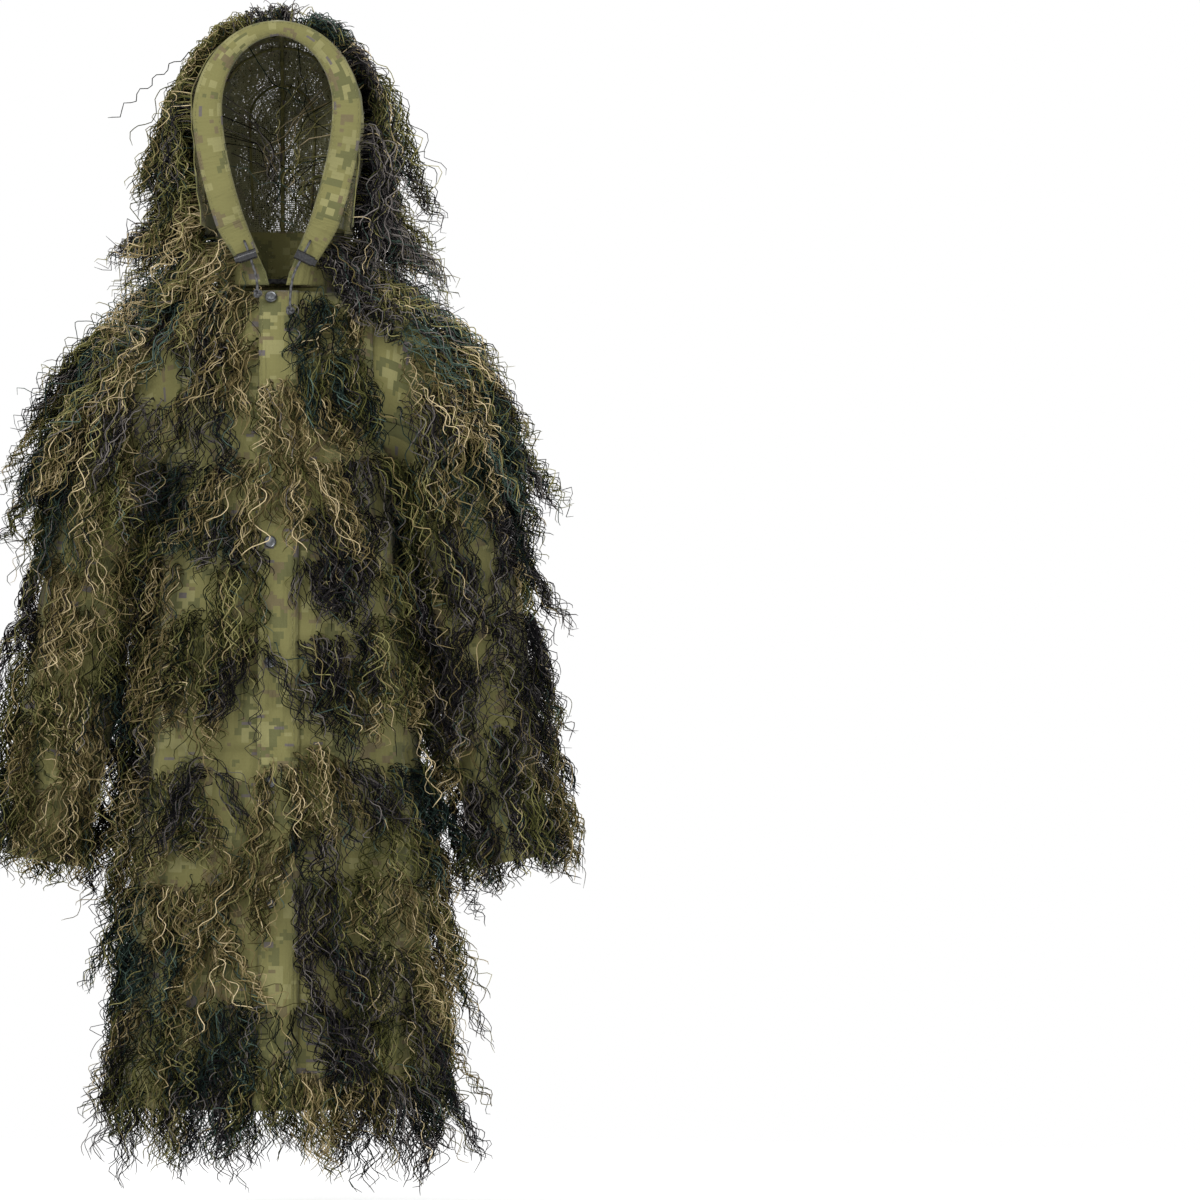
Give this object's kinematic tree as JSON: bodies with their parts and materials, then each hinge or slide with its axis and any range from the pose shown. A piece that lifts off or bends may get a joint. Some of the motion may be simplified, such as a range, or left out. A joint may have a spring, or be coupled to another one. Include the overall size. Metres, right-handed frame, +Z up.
{
  "type": "ghillie suit",
  "caption": "Hooded knee-length camouflage coat covered in hanging yarn, with a snap placket, drawcord hood, gathered waist and loose sleeves.",
  "frame": {"origin": "centre of the neck opening at shoulder height, where the coat rests on the wearer's shoulders", "axes": "+Z up, -Y to the front, +X to the wearer's left"},
  "size_m": [0.7122, 0.3263, 1.4505],
  "materials": {
    "camo_cloth": "woven camouflage cloth, matt",
    "mesh": "open knitted mesh, matt",
    "yarn_straw": "frayed synthetic yarn, straw and olive",
    "yarn_dark": "frayed synthetic yarn, charcoal and dark green",
    "elastic": "flat braided elastic",
    "steel": "gunmetal plated",
    "black_plastic": "glossy black",
    "cord": "round braided cord"
  },
  "bodies": {
    "torso": {"back_panel": "camo_cloth", "side_panel_left": "camo_cloth", "side_panel_right": "camo_cloth", "waist_casing_back": "camo_cloth", "waist_elastic_back": "elastic", "skirt_back_mesh": "mesh", "skirt_side_left": "camo_cloth", "skirt_side_right": "camo_cloth", "hem_tape_back": "camo_cloth", "yoke_back": "camo_cloth", "yoke_left": "camo_cloth", "yoke_right": "camo_cloth", "collar_back": "camo_cloth", "neck_tape": "camo_cloth", "hanger_loop": "cord", "yarn_back": "yarn_dark", "yarn_skirt_back": "yarn_dark", "yarn_side_left": "yarn_straw", "yarn_side_right": "yarn_dark", "yarn_yoke": "yarn_straw"},
    "front_left": {"front_panel_left": "camo_cloth", "skirt_front_left": "camo_cloth", "waist_casing_left": "camo_cloth", "placket": "camo_cloth", "placket_facing": "camo_cloth", "snap_caps": "steel", "snap_sockets": "steel", "collar_front_left": "camo_cloth", "eyelet_left": "steel", "yarn_front_left": "yarn_dark", "cord_tail_left": "cord"},
    "front_right": {"front_panel_right": "camo_cloth", "skirt_front_right": "camo_cloth", "waist_casing_right": "camo_cloth", "snap_studs": "steel", "collar_front_right": "camo_cloth", "eyelet_right": "steel", "yarn_front_right": "yarn_straw", "cord_tail_right": "cord"},
    "hood": {"hood_left": "camo_cloth", "hood_right": "camo_cloth", "hood_top": "camo_cloth", "hood_back_mesh": "mesh", "hood_rim": "camo_cloth", "hood_drawcord": "cord", "yarn_hood": "yarn_dark"},
    "sleeve_left": {"sleeve_left": "camo_cloth", "cuff_left": "camo_cloth", "cuff_elastic_left": "elastic", "yarn_sleeve_left": "yarn_dark"},
    "sleeve_right": {"sleeve_right": "camo_cloth", "cuff_right": "camo_cloth", "cuff_elastic_right": "elastic", "yarn_sleeve_right": "yarn_straw"},
    "lock_left": {"lock_left": "black_plastic", "lock_spring_left": "steel"},
    "lock_right": {"lock_right": "black_plastic", "lock_spring_right": "steel"},
    "plunger_left": {"plunger_left": "black_plastic"},
    "plunger_right": {"plunger_right": "black_plastic"}
  },
  "joints": [
    {"name": "front_left_open", "type": "hinge", "parent": "torso", "child": "front_left", "pos_m": [0.058, -0.13, 0.075], "axis": [-0.1084, 0, 0.9941], "range_deg": [0, 60]},
    {"name": "front_right_open", "type": "hinge", "parent": "torso", "child": "front_right", "pos_m": [-0.058, -0.13, 0.075], "axis": [0.1084, 0, 0.9941], "range_deg": [-24, 0]},
    {"name": "hood_back", "type": "hinge", "parent": "torso", "child": "hood", "pos_m": [0, 0.05, 0.06], "axis": [-1, 0, 0], "range_deg": [0, 45]},
    {"name": "arm_left_raise", "type": "hinge", "parent": "torso", "child": "sleeve_left", "pos_m": [0.19, 0, -0.115], "axis": [0, -1, 0], "range_deg": [0, 80]},
    {"name": "arm_right_raise", "type": "hinge", "parent": "torso", "child": "sleeve_right", "pos_m": [-0.19, 0, -0.115], "axis": [0, 1, 0], "range_deg": [0, 80]},
    {"name": "lock_left_slide", "type": "slide", "parent": "front_left", "child": "lock_left", "axis": [-0.4472, 0, -0.8944], "range_m": [0, 0.012]},
    {"name": "lock_right_slide", "type": "slide", "parent": "front_right", "child": "lock_right", "axis": [0.3162, 0, -0.9487], "range_m": [0, 0.012]},
    {"name": "plunger_left_press", "type": "slide", "parent": "lock_left", "child": "plunger_left", "axis": [-0.8944, 0, 0.4472], "range_m": [0, 0.0024], "stiffness_N_per_m": 300},
    {"name": "plunger_right_press", "type": "slide", "parent": "lock_right", "child": "plunger_right", "axis": [0.9487, 0, 0.3162], "range_m": [0, 0.0024], "stiffness_N_per_m": 300}
  ],
  "couplings": [
    {"joint": "front_right_open", "follows": "front_left_open", "ratio": -0.4}
  ]
}
